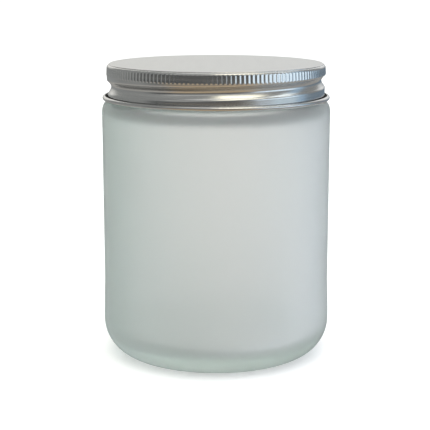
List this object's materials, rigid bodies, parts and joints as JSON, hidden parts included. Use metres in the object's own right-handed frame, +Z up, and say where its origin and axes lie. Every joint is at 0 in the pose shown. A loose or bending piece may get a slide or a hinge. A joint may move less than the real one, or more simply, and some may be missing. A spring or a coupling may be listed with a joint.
{
  "type": "candle jar",
  "caption": "Empty straight-sided frosted glass candle jar with a screw neck, a knurled aluminium screw lid and a foam liner inside the lid.",
  "frame": {"origin": "centre of the ring the jar stands on, at its resting face", "axes": "+Z up along the jar's axis, towards the lid; -Y is the front, +X is to the right seen from the front"},
  "size_m": [0.0734, 0.0734, 0.094],
  "materials": {
    "frosted_glass": "acid-etched satin outside, fire-polished inside",
    "lid_aluminium": "satin, clear lacquered",
    "liner_foam": "matte closed-cell foam"
  },
  "bodies": {
    "jar": {"glass_jar": "frosted_glass"},
    "liner": {"lid_liner": "liner_foam"},
    "lid": {"screw_lid": "lid_aluminium"}
  },
  "joints": [
    {"name": "lid_rise", "type": "slide", "parent": "jar", "child": "liner", "axis": [0, 0, 1], "range_m": [0, 0.017]},
    {"name": "lid_turn", "type": "hinge", "parent": "liner", "child": "lid", "pos_m": [0, 0, 0.088], "axis": [0, 0, 1], "range_deg": [0, 1440]}
  ],
  "couplings": [
    {"joint": "lid_rise", "follows": "lid_turn", "m_per_rad": 0.00067322}
  ]
}
